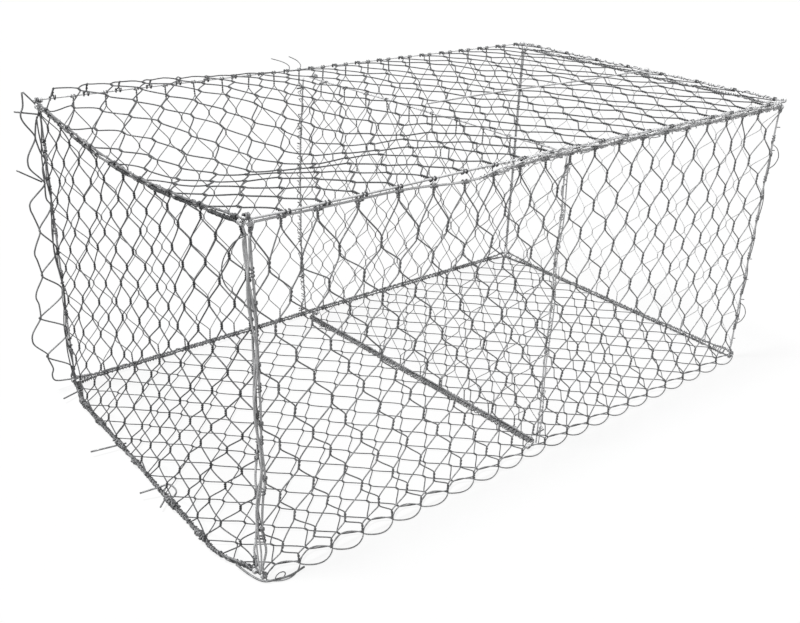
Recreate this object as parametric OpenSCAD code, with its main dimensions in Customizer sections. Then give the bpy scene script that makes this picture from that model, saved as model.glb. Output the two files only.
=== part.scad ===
// Gabion basket of double-twist hexagonal wire mesh: one basket of two cells,
// with a diaphragm across the middle and a lid that opens on a hinge wire.
// Millimetres, X along the length, Y from front to back, Z up, ground at Z = 0.

/* [Basket] */
// Length between the two end panels
length = 1700; // [1200:10:3000]
// Depth between the front and back panels
depth = 1000; // [700:10:1400]
// Height of the lid above the ground
height = 800; // [500:10:1200]
// Count of mesh cells by which the diaphragm stands right of the middle
diaphragm_cell_count = 0; // [-4:1:4]
// Room between the closed lid's edge wires and the panels' top wires
lid_gap = 18; // [18:0.5:30]

/* [Mesh] */
// Diameter of the mesh wire
mesh_wire = 3; // [2:0.1:4]
// Nominal width of a mesh cell on the long panels
cell_width = 84; // [60:1:120]
// Nominal width of a mesh cell on the ends and the diaphragm
end_cell_width = 88; // [60:1:120]
// Nominal distance from one row of twists to the next
row_pitch = 61; // [48:1:90]
// Length of a double twist
twist_len = 35; // [20:1:40]
// How far the back panel's cut loops stand past its left edge wire
loop_reach = 60; // [15:1:80]
// How far the base's loops stand out past the fold at the front
fold_reach = 4; // [2:0.5:10]
// Height of a loop at the fold
fold_rise = 8; // [6:0.5:14]

/* [Edge wires] */
// Diameter of the edge wires
edge_wire = 3.9; // [3:0.1:5]
// Distance by which the two edge wires of a laced edge stand apart, each way
edge_step = 12; // [12:0.5:20]
// Length of mesh wire wrapped on an edge wire
wrap_len = 12; // [6:0.5:16]
// Play between an edge wire and what is wrapped around it
wrap_play = 0.3; // [0.2:0.05:0.6]
// Length of an edge wire past the eye that holds it
edge_over = 5; // [4:0.5:8]
// Count of pairs of mesh rows on the lid in front of the straight brace
brace_pair_count = 3; // [1:1:4]

/* [Lacing] */
// Diameter of the lacing wire
lacing_wire = 2.2; // [1.8:0.1:3]
// Play between the lacing and the wires that it ties
lacing_play = 0.3; // [0.2:0.05:0.6]
// Length of a loose lacing end
tail_len = 60; // [20:1:90]

/* [Hidden] */
// Radii of the wraps and eyes, and the bore that they share
bore_r = edge_wire / 2 + wrap_play;
wrap_r = bore_r + mesh_wire;
eye_r = bore_r + edge_wire;
eye_w = 1.6 * edge_wire;

// Heights of the base wires, the panels' bottom wires and their top wires
base_wire_z = eye_r;
low_wire_z = base_wire_z + edge_step;
top_wire_z = height - lid_gap;
diaphragm_low_z = mesh_wire + wrap_play + eye_r;

// Spans of the panels between their edge wires
long_span = length - 2 * edge_step;
end_span = depth - 2 * edge_step;
front_rise = top_wire_z - mesh_wire;
back_rise = height - low_wire_z;
end_rise = top_wire_z - low_wire_z;
diaphragm_rise = top_wire_z - diaphragm_low_z;
// The diaphragm ends in front of the base's back wire
diaphragm_span = end_span - 2 * eye_r - wrap_play;
base_run = depth - edge_step + mesh_wire / 2;

// Numbers of cells across each panel, and of rows of twists along it
long_cells = round(long_span / cell_width);
lid_cells = round(length / cell_width);
end_cells = round(end_span / end_cell_width);
diaphragm_cells = round(diaphragm_span / end_cell_width);
function odd_rows(run) = 2 * round((run / row_pitch - 1) / 2) + 1;
function even_rows(run) = 2 * round(run / row_pitch / 2);
front_rows = odd_rows(front_rise);
back_rows = odd_rows(back_rise);
end_rows = odd_rows(end_rise);
diaphragm_rows = odd_rows(diaphragm_rise);
base_rows = even_rows(base_run);
lid_rows = even_rows(depth);

// The diaphragm stands on a column of twists in the odd rows of the front panel
diaphragm_column = floor(long_cells / 2) - 0.5 + diaphragm_cell_count;
diaphragm_x = (diaphragm_column / long_cells - 0.5) * long_span;

// Lacing: distance from a tied wire's axis, advance of one turn, and room along
// that wire to a wrapped mesh end and to a mesh twist wrapped on at the side
lace_r = edge_wire / 2 + lacing_play + lacing_wire / 2;
lace_turn = 3 * lacing_wire;
lace_half = (lace_turn + lacing_wire) / 2 + lacing_play;
wrap_room = wrap_len / 2 + lace_half;
twist_room = twist_len / 2 + lace_half;
lace_sides = 4;
// Distance of the lacing from the middle of a mesh twist that it ties
twist_lace_r = norm([mesh_wire, mesh_wire / 2]) + lacing_play + lacing_wire / 2;

AX = [1, 0, 0];
AY = [0, 1, 0];
AZ = [0, 0, 1];

galvanized = "#8e9296";
bright_zinc = "#a9adb0";
dull_zinc = "#74787b";

// Mesh: a sheet lies in U and V, with its twists along V

// Twist places along U in a row, and the wraps along a sheet's edges
function row_twists(span, cells, row) =
  row % 2 == 0 ? [for (i = [1:cells - 1]) i * span / cells]
               : [for (i = [0:cells - 1]) (i + 0.5) * span / cells];
function side_wraps(run, rows) = [for (j = [0:2:rows - 1]) (j + 0.5) * run / rows];

// One opening of the mesh, with its left and right twists' half widths
module opening(pu, pv, left, right, low, high) {
  rise = pv - twist_len;
  slope = rise / (pu / 2);
  lean = mesh_wire / 2 * sqrt(1 + slope * slope);
  apex = pv - twist_len / 2 - lean;
  function shoulder(half) = twist_len / 2 + slope * half - lean;
  past = pv;
  top = high
    ? [[pu / 2 - right, past], [left - pu / 2, past]]
    : [[pu / 2 - right, shoulder(right)], [0, apex], [left - pu / 2, shoulder(left)]];
  bottom = low
    ? [[left - pu / 2, -past], [pu / 2 - right, -past]]
    : [[left - pu / 2, -shoulder(left)], [0, -apex], [pu / 2 - right, -shoulder(right)]];
  polygon(concat(top, bottom));
}

// Flat outline of a sheet: twists two wires wide and slanted wires between them
module sheet_outline(span, run, cells, rows, edge_half) {
  pu = span / cells;
  pv = run / rows;
  difference() {
    square([span, run]);
    for (j = [0:rows - 1])
      for (i = [0:cells - 1 + j % 2])
        translate([(i + (1 - j % 2) / 2) * pu, (j + 0.5) * pv])
          opening(pu, pv,
            j % 2 == 0 && i == 0 ? edge_half : mesh_wire,
            j % 2 == 0 && i == cells - 1 ? edge_half : mesh_wire,
            j == 0, j == rows - 1);
  }
}

// Loops of a sheet along a fold, from twist to twist, down to the given reach
module fold_loops(span, cells, reach) {
  pu = span / cells;
  sag = fold_rise + reach;
  r = (pu * pu / 4 + sag * sag) / (2 * sag);
  for (i = [0:cells - 1])
    intersection() {
      translate([(i + 0.5) * pu, r - reach]) difference() {
        circle(r = r + mesh_wire / 2);
        circle(r = r - mesh_wire / 2);
      }
      translate([i * pu, -reach - mesh_wire]) square([pu, sag + 2 * mesh_wire]);
    }
}

// Room around the eye of an edge wire, for a wire that runs along the axis given
module eye_room(at, axis)
  translate(at) rotate([0, acos(axis.z), atan2(axis.y, axis.x)])
    cylinder(r = eye_r + wrap_play, h = eye_w + 2 * wrap_play, center = true);

// A sheet with its ends wrapped on the edge wires; lift raises those wires.
// A sheet with no low edge wire has loops there instead, of the given reach.
module mesh_sheet(span, run, cells, rows, low = true, high = true, lift = 0, reach = 0) {
  bore_len = 2 * eye_r;
  difference() {
    union() {
      translate([0, 0, -mesh_wire / 2])
        linear_extrude(mesh_wire) {
          sheet_outline(span, run, cells, rows, wrap_r);
          if (!low) fold_loops(span, cells, reach);
        }
      for (u = [0, span], v = side_wraps(run, rows))
        translate([u, v, lift]) rotate([90, 0, 0])
          cylinder(r = wrap_r, h = wrap_len, center = true);
      if (low)
        for (u = row_twists(span, cells, 0))
          translate([u, 0, lift]) rotate([0, 90, 0])
            cylinder(r = wrap_r, h = wrap_len, center = true);
      if (high)
        for (u = row_twists(span, cells, rows - 1))
          translate([u, run, lift]) rotate([0, 90, 0])
            cylinder(r = wrap_r, h = wrap_len, center = true);
      children();
    }
    for (u = [0, span])
      translate([u, run / 2, lift]) rotate([90, 0, 0])
        cylinder(r = bore_r, h = run + bore_len, center = true);
    if (low)
      translate([span / 2, 0, lift]) rotate([0, 90, 0])
        cylinder(r = bore_r, h = span + bore_len, center = true);
    if (high)
      translate([span / 2, run, lift]) rotate([0, 90, 0])
        cylinder(r = bore_r, h = span + bore_len, center = true);
    for (u = [0, span]) {
      if (low) eye_room([u, 0, lift], AX);
      if (high) eye_room([u, run, lift], AX);
    }
  }
}

// Cut loops of a sheet, outside its first edge wire: halves of cells, each with a
// slanted wire from one wrap out to a straight link and another back to the next wrap
module cut_loops(run, rows) {
  pv = run / rows;
  half = pv - mesh_wire;
  link = twist_len / 2;
  slope = (half - link) / loop_reach;
  lean = mesh_wire * sqrt(1 + slope * slope);
  function side(reach, tall) =
    let (knee = tall - slope * reach) [[0, -tall], [-reach, -knee], [-reach, knee], [0, tall]];
  translate([0, 0, -mesh_wire / 2])
    linear_extrude(mesh_wire)
      for (j = [1:2:rows - 2])
        translate([0, (j + 0.5) * pv]) difference() {
          polygon(side(loop_reach, half));
          polygon(side(loop_reach - mesh_wire, half - lean));
        }
}

// Places of the sheets
module on_long_side(y, z) { translate([-long_span / 2, y, z]) rotate([90, 0, 0]) children(); }
module on_end(x, z) { translate([x, -end_span / 2, z]) rotate([90, 0, 90]) children(); }

// The eyes at the feet of the front's side wires stand in both sheets of the fold
module front_mesh() {
  color(galvanized) on_long_side(-depth / 2, mesh_wire)
    difference() {
      mesh_sheet(long_span, front_rise, long_cells, front_rows, low = false,
        reach = -mesh_wire / 2);
      for (u = [0, long_span]) eye_room([u, base_wire_z - mesh_wire, 0], AZ);
    }
}

module back_mesh() {
  color(galvanized) on_long_side(depth / 2, low_wire_z)
    mesh_sheet(long_span, back_rise, long_cells, back_rows)
      cut_loops(back_rise, back_rows);
}

module base_mesh() {
  lift = base_wire_z - mesh_wire / 2;
  color(galvanized) translate([-long_span / 2, -(depth + mesh_wire) / 2, mesh_wire / 2])
    difference() {
      mesh_sheet(long_span, base_run, long_cells, base_rows, low = false, lift = lift,
        reach = fold_reach);
      for (u = [0, long_span]) eye_room([u, mesh_wire / 2, lift], AY);
    }
}

module lid_mesh() {
  color(galvanized) translate([-length / 2, -depth / 2, height])
    mesh_sheet(length, depth, lid_cells, lid_rows);
}

module end_mesh(side) {
  color(galvanized) on_end(side * length / 2, low_wire_z)
    mesh_sheet(end_span, end_rise, end_cells, end_rows);
}
module left_end_mesh() { end_mesh(-1); }
module right_end_mesh() { end_mesh(1); }

module diaphragm_mesh() {
  color(dull_zinc) on_end(diaphragm_x, diaphragm_low_z)
    mesh_sheet(diaphragm_span, diaphragm_rise, diaphragm_cells, diaphragm_rows);
}

// Edge wires: plain ones run past the eyes on the ends of the others

module plain_wire(from, to) {
  run = to - from;
  along = run / norm(run);
  color(bright_zinc) translate(from - edge_over * along)
    rotate([0, acos(along.z), atan2(along.y, along.x)])
      cylinder(d = edge_wire, h = norm(run) + 2 * edge_over);
}

// A wire from one point to another, with an eye at each end around a wire
// that runs along the axis given there
module eyed_wire(from, to, from_axis, to_axis) {
  run = to - from;
  along = run / norm(run);
  ends = [[from, from_axis], [to, to_axis]];
  module lying(at, axis, r, h)
    translate(at) rotate([0, acos(axis.z), atan2(axis.y, axis.x)])
      cylinder(r = r, h = h, center = true);
  color(bright_zinc) difference() {
    union() {
      translate(from) rotate([0, acos(along.z), atan2(along.y, along.x)])
        cylinder(d = edge_wire, h = norm(run));
      for (e = ends) lying(e[0], e[1], eye_r, eye_w);
    }
    for (e = ends) lying(e[0], e[1], bore_r, eye_w + edge_wire);
  }
}

module front_top_wire() {
  plain_wire([-long_span / 2, -depth / 2, top_wire_z], [long_span / 2, -depth / 2, top_wire_z]);
}
module front_side_wire(side) {
  x = side * long_span / 2;
  eyed_wire([x, -depth / 2, base_wire_z], [x, -depth / 2, top_wire_z], AY, AX);
}
module front_left_wire() { front_side_wire(-1); }
module front_right_wire() { front_side_wire(1); }

// The base's side wires pass through the front wires' eyes and are eyed at the back
module base_side_wire(side) {
  x = side * long_span / 2;
  back = [x, end_span / 2, base_wire_z];
  front = [x, -depth / 2 - edge_over, base_wire_z];
  color(bright_zinc) difference() {
    union() {
      translate(front) rotate([-90, 0, 0]) cylinder(d = edge_wire, h = norm(back - front));
      translate(back) rotate([0, 90, 0]) cylinder(r = eye_r, h = eye_w, center = true);
    }
    translate(back) rotate([0, 90, 0]) cylinder(r = bore_r, h = eye_w + edge_wire, center = true);
  }
}
module base_left_wire() { base_side_wire(-1); }
module base_right_wire() { base_side_wire(1); }
module base_back_wire() {
  plain_wire([-long_span / 2, end_span / 2, base_wire_z], [long_span / 2, end_span / 2, base_wire_z]);
}

module back_bottom_wire() {
  plain_wire([-long_span / 2, depth / 2, low_wire_z], [long_span / 2, depth / 2, low_wire_z]);
}
module back_side_wire(side) {
  x = side * long_span / 2;
  eyed_wire([x, depth / 2, low_wire_z], [x, depth / 2, height], AX, AX);
}
module back_left_wire() { back_side_wire(-1); }
module back_right_wire() { back_side_wire(1); }

module lid_hinge_wire() {
  plain_wire([-length / 2, depth / 2, height], [length / 2, depth / 2, height]);
}
module lid_front_wire() {
  plain_wire([-length / 2, -depth / 2, height], [length / 2, -depth / 2, height]);
}
module lid_side_wire(side) {
  x = side * length / 2;
  eyed_wire([x, -depth / 2, height], [x, depth / 2, height], AX, AX);
}
module lid_left_wire() { lid_side_wire(-1); }
module lid_right_wire() { lid_side_wire(1); }

// A straight brace lies on the lid from the diaphragm to an eye on the right wire
module lid_brace_wire() {
  y = (2 * brace_pair_count + 1.5) * depth / lid_rows - depth / 2;
  rise = mesh_wire / 2 + wrap_play + edge_wire / 2;
  right = [length / 2, y, height];
  color(bright_zinc) difference() {
    union() {
      translate([diaphragm_x, y, height + rise]) rotate([0, 90, 0])
        cylinder(d = edge_wire, h = length / 2 - diaphragm_x);
      translate(right) rotate([90, 0, 0]) cylinder(r = eye_r, h = eye_w, center = true);
    }
    translate(right) rotate([90, 0, 0]) cylinder(r = bore_r, h = eye_w + edge_wire, center = true);
  }
}

// The four wires around an end panel or the diaphragm
end_y = end_span / 2;
diaphragm_back_y = diaphragm_span - end_y;
module level_wire(x, back, z) { plain_wire([x, -end_y, z], [x, back, z]); }
module upright_wire(x, y, low) { eyed_wire([x, y, low], [x, y, top_wire_z], AY, AY); }
module left_end_top_wire() { level_wire(-length / 2, end_y, top_wire_z); }
module left_end_bottom_wire() { level_wire(-length / 2, end_y, low_wire_z); }
module left_end_front_wire() { upright_wire(-length / 2, -end_y, low_wire_z); }
module left_end_back_wire() { upright_wire(-length / 2, end_y, low_wire_z); }
module right_end_top_wire() { level_wire(length / 2, end_y, top_wire_z); }
module right_end_bottom_wire() { level_wire(length / 2, end_y, low_wire_z); }
module right_end_front_wire() { upright_wire(length / 2, -end_y, low_wire_z); }
module right_end_back_wire() { upright_wire(length / 2, end_y, low_wire_z); }
module diaphragm_top_wire() { level_wire(diaphragm_x, diaphragm_back_y, top_wire_z); }
module diaphragm_bottom_wire() { level_wire(diaphragm_x, diaphragm_back_y, diaphragm_low_z); }
module diaphragm_front_wire() { upright_wire(diaphragm_x, -end_y, diaphragm_low_z); }
module diaphragm_back_wire() { upright_wire(diaphragm_x, diaphragm_back_y, diaphragm_low_z); }

// Lacing: a wire that turns around two parallel wires and runs on between turns

function unit(v) = v / norm(v);
function shifted(list, by) = [for (s = list) s + by];
// Middles between neighbouring wraps, moved along until they are clear of all
// wrapped mesh ends and of all mesh twists wrapped on at the side
function middles(list) = [for (k = [0:len(list) - 2]) (list[k] + list[k + 1]) / 2];
function is_clear(s, list, room) = len([for (w = list) if (abs(s - w) < room) w]) == 0;
function clear_places(wanted, ends, twists) =
  [for (m = wanted)
    let (free = [for (o = [0, 1, -1, 2, -2, 3, -3, 4, -4, 5, -5])
      let (s = m + o * wrap_room / 3)
      if (is_clear(s, ends, wrap_room) && is_clear(s, twists, twist_room)) s])
    if (len(free) > 0) free[0]];

// One turn around wires p and q in cross-section, starting on the outer side
function turn_points(p, q, rp, rq, out) =
  let (across = unit(q - p),
       quarter = [for (a = [0:45:180]) a],
       around_q = [for (a = quarter) q + rq * (cos(a) * out + sin(a) * across)],
       around_p = [for (a = quarter) p - rp * (cos(a) * out + sin(a) * across)])
    concat([(p + q) / 2 + max(rp, rq) * out], around_q, around_p,
           [(p + q) / 2 + max(rp, rq) * out]);

// Cross-section points [a, b] and a place along the wires, for all turns of one lacing wire
function lace_path(places, p, q, rp, rq, out, tail) =
  let (turn = turn_points(p, q, rp, rq, out),
       n = len(turn) - 1,
       start = turn[0],
       last = places[len(places) - 1])
    concat(
      [[start.x + tail.x, start.y + tail.y, places[0] - lace_turn - tail_len / 4],
       [start.x + tail.x / 3, start.y + tail.y / 3, places[0] - lace_turn]],
      [for (s = places) for (k = [0:n])
        [turn[k].x, turn[k].y, s + (k / n - 0.5) * lace_turn]],
      [[start.x + tail.x / 3, start.y + tail.y / 3, last + lace_turn],
       [start.x + tail.x, start.y + tail.y, last + lace_turn + tail_len / 4]]);

// A round wire of few sides along a path
module swept_wire(path, d, sides) {
  n = len(path);
  heading = [for (k = [0:n - 1])
    unit(path[min(k + 1, n - 1)] - path[max(k - 1, 0)])];
  function level(v, t) = unit(v - (v * t) * t);
  first = level(abs(heading[0].z) < 0.9 ? [0, 0, 1] : [1, 0, 0], heading[0]);
  normals = [for (k = 0, v = first; k < n;
    k = k + 1, v = k < n ? level(v, heading[k]) : v) v];
  points = [for (k = [0:n - 1], i = [0:sides - 1])
    let (a = 360 * (i + 0.5) / sides)
      path[k] + d / 2 * (cos(a) * normals[k] + sin(a) * cross(heading[k], normals[k]))];
  walls = [for (k = [0:n - 2], i = [0:sides - 1])
    let (j = (i + 1) % sides, near = k * sides, far = near + sides)
      each [[near + i, far + i, far + j], [near + i, far + j, near + j]]];
  near = [for (i = [0:sides - 1]) i];
  far = [for (i = [sides - 1:-1:0]) (n - 1) * sides + i];
  polyhedron(points, concat([near], walls, [far]));
}

// Lacing in groups, each one wire with two loose ends; turns its axis to Z, Y or X
module lacing(places, p, q, rp, rq, out, tail, groups) {
  n = len(places);
  size = ceil(n / groups);
  color(dull_zinc)
    for (g = [0:groups - 1])
      swept_wire(
        [for (s = lace_path([for (k = [g * size:min(n, (g + 1) * size) - 1]) places[k]],
          p, q, rp, rq, out, tail)) s], lacing_wire, lace_sides);
}

// Uprights: the long panel's side wire and the end panel's, with Z along the wires
module corner_lacing(side, face, low, rows, run, groups) {
  long_wraps = shifted(side_wraps(run, rows), low);
  end_wraps = shifted(side_wraps(end_rise, end_rows), low_wire_z);
  places = clear_places(middles(end_wraps), [], concat(long_wraps, end_wraps));
  p = [side * long_span / 2, face * depth / 2];
  q = [side * length / 2, face * end_span / 2];
  lacing(places, p, q, lace_r, lace_r, unit([side, face]),
    tail_len * unit([side, face / 4]), groups);
}
module front_left_lacing() { corner_lacing(-1, -1, mesh_wire, front_rows, front_rise, 1); }
module front_right_lacing() { corner_lacing(1, -1, mesh_wire, front_rows, front_rise, 1); }
module back_left_lacing() { corner_lacing(-1, 1, low_wire_z, back_rows, back_rise, 2); }
module back_right_lacing() { corner_lacing(1, 1, low_wire_z, back_rows, back_rise, 1); }

// Bottom of an end: the base's side wire and the end's bottom wire, along Y
module end_bottom_lacing(side, groups) {
  base_wraps = shifted(side_wraps(base_run, base_rows), -(depth + mesh_wire) / 2);
  end_wraps = shifted(row_twists(end_span, end_cells, 0), -end_span / 2);
  places = clear_places(middles(end_wraps), end_wraps, base_wraps);
  // Local axes: X is up, Y is out to the side, Z runs along the edge
  p = [base_wire_z, long_span / 2];
  q = [low_wire_z, length / 2];
  multmatrix([[0, side, 0, 0], [0, 0, side, 0], [1, 0, 0, 0], [0, 0, 0, 1]])
    lacing([for (k = [1:len(places)]) side > 0 ? places[k - 1] : -places[len(places) - k]],
      p, q, lace_r, lace_r, unit([-1, 1]), [0, tail_len], groups);
}
module left_bottom_lacing() { end_bottom_lacing(-1, 3); }
module right_bottom_lacing() { end_bottom_lacing(1, 1); }

// Bottom of the back: the base's back wire and the back panel's bottom wire, along X
module back_bottom_lacing() {
  base_wraps = shifted(row_twists(long_span, long_cells, base_rows - 1), -long_span / 2);
  back_wraps = shifted(row_twists(long_span, long_cells, 0), -long_span / 2);
  places = clear_places(middles(back_wraps), concat(base_wraps, back_wraps), []);
  // Local axes: X is back, Y is up, Z runs along the edge
  multmatrix([[0, 0, 1, 0], [1, 0, 0, 0], [0, 1, 0, 0], [0, 0, 0, 1]])
    lacing([for (k = [0:2:len(places) - 1]) places[k]],
      [end_span / 2, base_wire_z], [depth / 2, low_wire_z], lace_r, lace_r,
      unit([1, -1]), [tail_len / 4, 0], 1);
}

// Diaphragm uprights tied to a column of twists in the front or back panel
module diaphragm_lacing(face, low, rows, run) {
  own_wraps = shifted(side_wraps(diaphragm_rise, diaphragm_rows), diaphragm_low_z);
  twists = [for (j = [1:2:rows - 1]) low + (j + 0.5) * run / rows];
  p = [diaphragm_x, face < 0 ? -end_y : diaphragm_back_y];
  q = [diaphragm_x, face * depth / 2];
  places = clear_places(twists, [], own_wraps);
  lacing(places, p, q, lace_r, twist_lace_r, [-1, 0], tail_len / 2 * unit([-1, face]), 1);
}
module diaphragm_front_lacing() { diaphragm_lacing(-1, mesh_wire, front_rows, front_rise); }
module diaphragm_back_lacing() { diaphragm_lacing(1, low_wire_z, back_rows, back_rise); }

front_mesh();
back_mesh();
base_mesh();
lid_mesh();
left_end_mesh();
right_end_mesh();
diaphragm_mesh();
front_top_wire();
front_left_wire();
front_right_wire();
base_left_wire();
base_right_wire();
base_back_wire();
back_bottom_wire();
back_left_wire();
back_right_wire();
lid_hinge_wire();
lid_front_wire();
lid_left_wire();
lid_right_wire();
lid_brace_wire();
left_end_top_wire();
left_end_bottom_wire();
left_end_front_wire();
left_end_back_wire();
right_end_top_wire();
right_end_bottom_wire();
right_end_front_wire();
right_end_back_wire();
diaphragm_top_wire();
diaphragm_bottom_wire();
diaphragm_front_wire();
diaphragm_back_wire();
front_left_lacing();
front_right_lacing();
back_left_lacing();
back_right_lacing();
left_bottom_lacing();
right_bottom_lacing();
back_bottom_lacing();
diaphragm_front_lacing();
diaphragm_back_lacing();
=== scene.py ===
import math

import bpy
import numpy as np
from mathutils import Matrix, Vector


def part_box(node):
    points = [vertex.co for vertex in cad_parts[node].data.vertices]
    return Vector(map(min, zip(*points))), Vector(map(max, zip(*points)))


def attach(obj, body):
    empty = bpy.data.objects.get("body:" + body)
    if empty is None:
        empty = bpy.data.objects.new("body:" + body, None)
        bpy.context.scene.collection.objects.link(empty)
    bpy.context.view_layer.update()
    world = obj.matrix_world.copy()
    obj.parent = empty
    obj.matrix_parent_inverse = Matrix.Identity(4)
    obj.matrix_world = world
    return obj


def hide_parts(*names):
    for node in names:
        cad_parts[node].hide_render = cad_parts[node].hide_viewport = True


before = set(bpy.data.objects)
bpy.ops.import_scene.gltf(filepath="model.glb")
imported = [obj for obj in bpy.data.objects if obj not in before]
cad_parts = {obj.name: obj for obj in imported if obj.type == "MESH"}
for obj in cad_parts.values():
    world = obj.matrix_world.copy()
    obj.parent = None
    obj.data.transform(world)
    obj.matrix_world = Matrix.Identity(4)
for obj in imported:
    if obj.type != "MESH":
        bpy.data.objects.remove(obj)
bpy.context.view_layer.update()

# Diameters of the wires, in metres
EDGE_D = 0.0046
THICK_D = 0.0050    # edge wires of the near corner and of the front's top
HINGE_D = 0.0032
UPRIGHT_D = 0.0036  # front wire of the diaphragm
LACE_D = 0.0024
STRAND_D = 0.0030
NEAR_STRAND_D, BACK_STRAND_D = 0.0040, 0.0034
TIE_D = 0.0042      # loose ends, and windings along the left foot
WINDING_D = 0.0016  # windings along the left top edge
LOOP_D = 0.0042     # cut cells past the left back corner
WIRE_SIDES, THICK_SIDES = 6, 8

# The weave, in metres
CELL = 0.084
END_CELL = 0.088
ROW_PITCH = 0.061
FOLD_Z = 0.0036     # height of the fold
FOLD_V = 0.004      # from the fold to the front's lowest twists
FOLD_OUT = 0.008    # how far the knots along the fold stand out in front of the basket

X, Y, Z = np.eye(3)
LEVEL = X + Y       # takes the height off a point that it multiplies
# Level directions, to the right and towards the viewer as the camera stands
ACROSS_VIEW = np.array([0.77, -0.64, 0.0])
TO_VIEW = np.array([-0.64, -0.77, 0.0])


# Places of the CAD wires, and smooth functions

def mid(node):
    """The middle of a node's box."""
    return np.mean(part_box(node), axis=0)


def long_axis(node):
    """The axis along which a node's box is longest."""
    return int(np.argmax(np.ptp(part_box(node), axis=0)))


def ripple(rng, waves=5, top=3.0):
    """A smooth random function of two numbers from 0 to 1, within about -1 to 1."""
    turns = rng.uniform(-top, top, (waves, 2))
    phase = rng.uniform(0, 2 * math.pi, waves)
    weight = rng.uniform(0.5, 1.0, waves)
    weight /= weight.sum()

    def value(a, b):
        return float(np.sum(weight * np.sin(2 * math.pi * (turns @ np.array([a, b])) + phase)))
    return value


def fade(t, width=0.1):
    """0 at the ends of 0..1 and 1 away from them."""
    t = min(max(min(t, 1 - t) / width, 0.0), 1.0)
    return t * t * (3 - 2 * t)


def bell(t, at, width):
    """1 at a place and falling to 0 on both sides of it."""
    return math.exp(-((t - at) / width) ** 2)


def ramp(t):
    """0 up to 0 and 1 from 1 on, smooth between."""
    t = min(max(t, 0.0), 1.0)
    return t * t * (3 - 2 * t)


# Tubes: each piece is one mesh of many wires

def tube(path, diameter, sides=WIRE_SIDES):
    """Vertices, quads and end triangles of a round wire along a path."""
    p = np.asarray(path, float)
    keep = np.ones(len(p), bool)
    keep[1:] = np.linalg.norm(np.diff(p, axis=0), axis=1) > 1e-5
    p = p[keep]
    heading = np.gradient(p, axis=0)
    heading /= np.linalg.norm(heading, axis=1)[:, None]
    start = np.cross(heading[0], Z if abs(heading[0][2]) < 0.9 else X)
    normals = np.empty_like(p)
    side = start / np.linalg.norm(start)
    for k, t in enumerate(heading):
        side = side - (side @ t) * t
        side = side / math.sqrt(side @ side)
        normals[k] = side
    across = np.cross(heading, normals)
    turn = 2 * math.pi * np.arange(sides) / sides
    ring = (np.cos(turn)[None, :, None] * normals[:, None, :]
            + np.sin(turn)[None, :, None] * across[:, None, :])
    verts = (p[:, None, :] + diameter / 2 * ring).reshape(-1, 3)
    n = len(p)
    k = np.arange(n - 1)[:, None] * sides
    i = np.arange(sides)[None, :]
    j = (i + 1) % sides
    quads = np.stack([k + i, k + j, k + sides + j, k + sides + i], -1).reshape(-1, 4)
    verts = np.concatenate([verts, p[:1], p[-1:]])
    first, last = n * sides, n * sides + 1
    i, j = i[0], j[0]
    base = (n - 1) * sides
    tris = np.concatenate([
        np.stack([np.full(sides, first), j, i], -1),
        np.stack([np.full(sides, last), base + i, base + j], -1)])
    return verts, quads, tris


def bowed(points, steps=8):
    """A smooth path through some points."""
    p = np.asarray(points, float)
    p = np.concatenate([2 * p[:1] - p[1:2], p, 2 * p[-1:] - p[-2:-1]])
    path = []
    for k in range(1, len(p) - 2):
        for t in np.arange(steps) / steps:
            path.append(0.5 * (2 * p[k] + (p[k + 1] - p[k - 1]) * t
                               + (2 * p[k - 1] - 5 * p[k] + 4 * p[k + 1] - p[k + 2]) * t * t
                               + (3 * p[k] - p[k - 1] - 3 * p[k + 1] + p[k + 2]) * t ** 3))
    path.append(p[-2])
    return path


def add_object(name, data):
    """A new object in the scene."""
    thing = bpy.data.objects.new(name, data)
    bpy.context.scene.collection.objects.link(thing)
    return thing


class Wires:
    """Collects wires of one piece, which rides on a body and may stand for CAD nodes."""

    def __init__(self, name, body, slot, *nodes):
        self.name, self.body, self.slot, self.nodes = name, body, slot, nodes
        self.parts = []

    def add(self, path, diameter, sides=WIRE_SIDES):
        self.parts.append(tube(path, diameter, sides))

    def build(self, material):
        verts, quads, tris, count = [], [], [], 0
        for v, q, t in self.parts:
            verts.append(v)
            quads.append(q + count)
            tris.append(t + count)
            count += len(v)
        verts, quads, tris = np.concatenate(verts), np.concatenate(quads), np.concatenate(tris)
        verts[:, 2] = np.maximum(verts[:, 2], 0.0)
        mesh = bpy.data.meshes.new(self.name)
        mesh.vertices.add(len(verts))
        mesh.vertices.foreach_set("co", verts.astype(np.float32).ravel())
        corners = np.concatenate([quads.ravel(), tris.ravel()]).astype(np.int32)
        starts = np.concatenate([np.arange(len(quads)) * 4, len(quads) * 4 + np.arange(len(tris)) * 3])
        mesh.loops.add(len(corners))
        mesh.loops.foreach_set("vertex_index", corners)
        mesh.polygons.add(len(starts))
        mesh.polygons.foreach_set("loop_start", starts.astype(np.int32))
        mesh.polygons.foreach_set("use_smooth", np.ones(len(starts), bool))
        mesh.update(calc_edges=True)
        mesh.materials.append(material)
        piece = add_object(self.name, mesh)
        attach(piece, self.body)
        if self.nodes:
            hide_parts(*self.nodes)


# Materials: galvanized wire

def add_node(tree, kind, values=None):
    """A new shader node with some of its inputs set."""
    node = tree.nodes.new("ShaderNode" + kind)
    for name, value in (values or {}).items():
        node.inputs[name].default_value = value
    return node


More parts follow.
